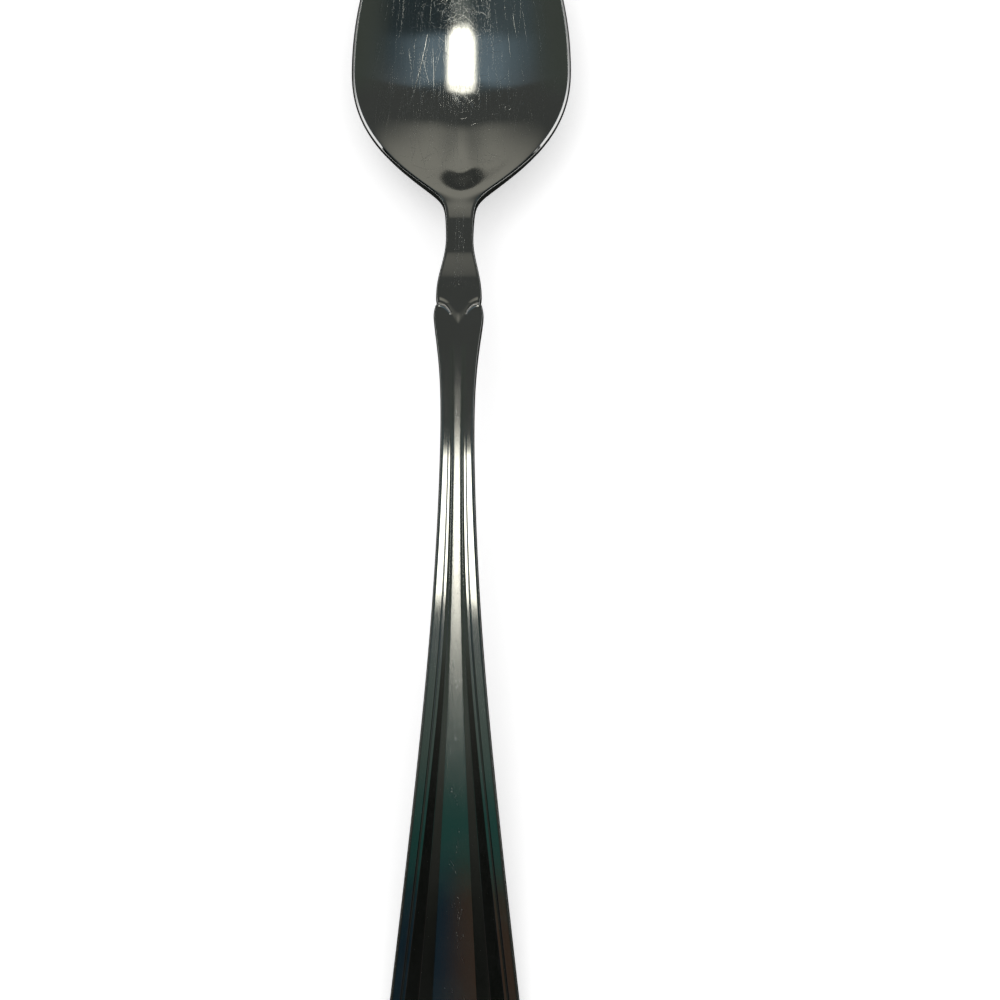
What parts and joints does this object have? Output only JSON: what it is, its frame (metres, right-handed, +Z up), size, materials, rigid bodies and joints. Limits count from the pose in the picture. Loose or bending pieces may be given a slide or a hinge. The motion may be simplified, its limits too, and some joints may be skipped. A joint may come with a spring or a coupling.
{
  "type": "iced tea spoon",
  "caption": "Long-handled iced tea spoon in polished stainless steel, with an oval bowl, a slim neck, small shoulder lobes and a flared handle with a middle rib and a raised border",
  "frame": {"origin": "middle of the spoon's footprint, on the surface that it lies on", "axes": "+Y along the spoon from the handle's end to the tip of the bowl, +Z up out of the hollow of the bowl, +X across"},
  "size_m": [0.03, 0.1898, 0.0118],
  "materials": {
    "steel": "polished stainless steel with fine wear scratches"
  },
  "bodies": {
    "root": {"bowl": "steel", "neck": "steel", "handle": "steel"}
  },
  "joints": []
}
